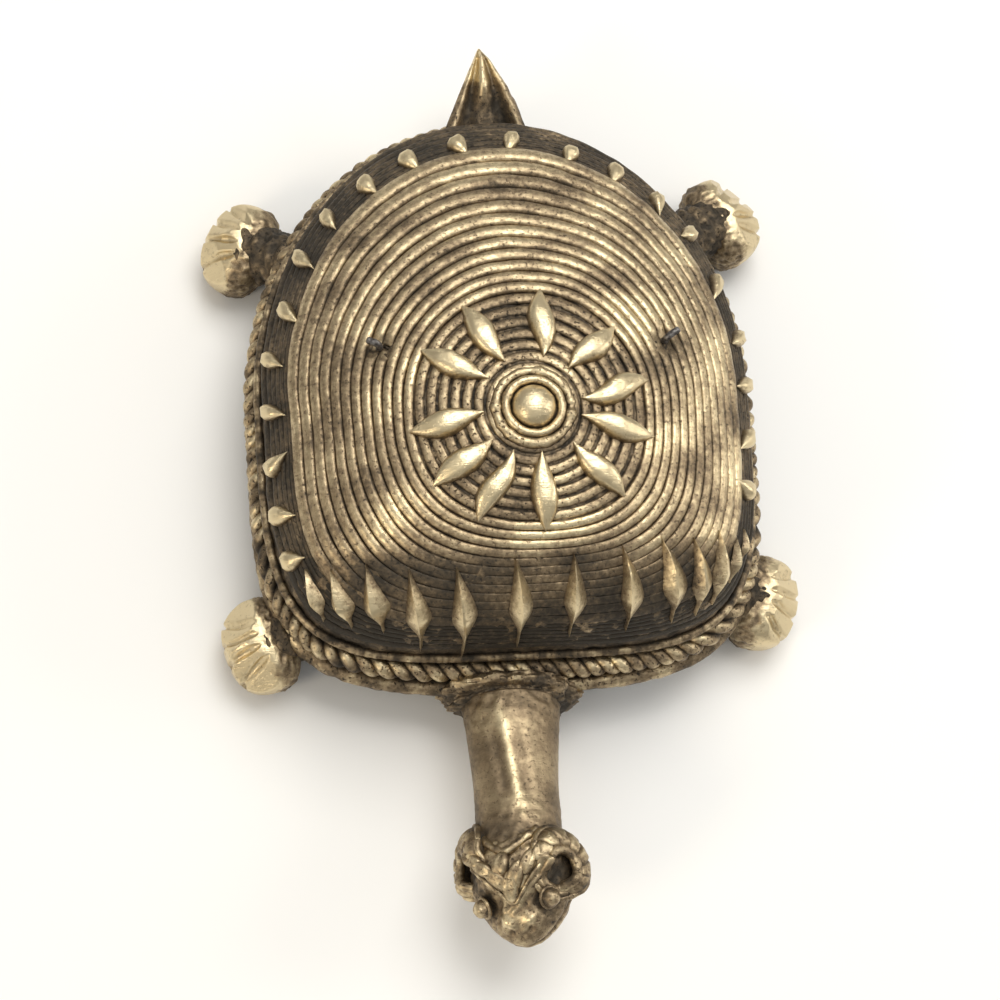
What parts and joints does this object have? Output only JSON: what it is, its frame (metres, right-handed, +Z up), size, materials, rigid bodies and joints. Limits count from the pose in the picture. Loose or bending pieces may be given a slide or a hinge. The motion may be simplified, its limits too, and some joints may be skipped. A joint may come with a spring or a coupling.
{
  "type": "tortoise bell",
  "caption": "Cast brass tortoise-shaped bell in wax-thread style: hollow domed shell with rosette, rope rim, ram-like head, four feet, and a clapper on an iron cross wire.",
  "frame": {"origin": "centre of the bounding box on the table plane, under the middle of the bell; the four soles stand on z = 0", "axes": "+Z up, -Y towards the head, +Y towards the tail, +X to the animal's left when seen from the head"},
  "size_m": [0.0812, 0.1261, 0.0364],
  "materials": {
    "antique_brass": "dark patina left in the recesses of the casting",
    "worn_brass": "as-cast brass threads, rubbed bright on top",
    "filed_brass": "filed and polished facets",
    "iron_wire": "dark drawn wire"
  },
  "bodies": {
    "bell": {"carapace_shell": "antique_brass", "thread_rings": "worn_brass", "rim_ridge": "worn_brass", "rim_rope": "worn_brass", "rim_lip": "worn_brass", "drop_studs": "filed_brass", "front_leaves": "filed_brass", "rosette_petals": "filed_brass", "rosette_outer_ring": "worn_brass", "rosette_inner_ring": "worn_brass", "rosette_boss": "filed_brass", "tail": "worn_brass", "neck_collar": "antique_brass", "neck": "worn_brass", "skull": "worn_brass", "brow_braid": "worn_brass", "horn_left": "worn_brass", "horn_right": "worn_brass", "eye_left": "worn_brass", "eye_right": "worn_brass", "leg_front_left": "antique_brass", "leg_front_right": "antique_brass", "leg_rear_left": "antique_brass", "leg_rear_right": "antique_brass", "foot_front_left": "filed_brass", "foot_front_right": "filed_brass", "foot_rear_left": "filed_brass", "foot_rear_right": "filed_brass", "clapper_wire": "iron_wire"},
    "clapper": {"clapper_hook": "iron_wire", "clapper_bob": "filed_brass"}
  },
  "joints": [
    {"name": "clapper_swing", "type": "hinge", "parent": "bell", "child": "clapper", "pos_m": [0, 0.0136, 0.0254], "axis": [1, 0, 0], "range_deg": [-93, 77]}
  ]
}
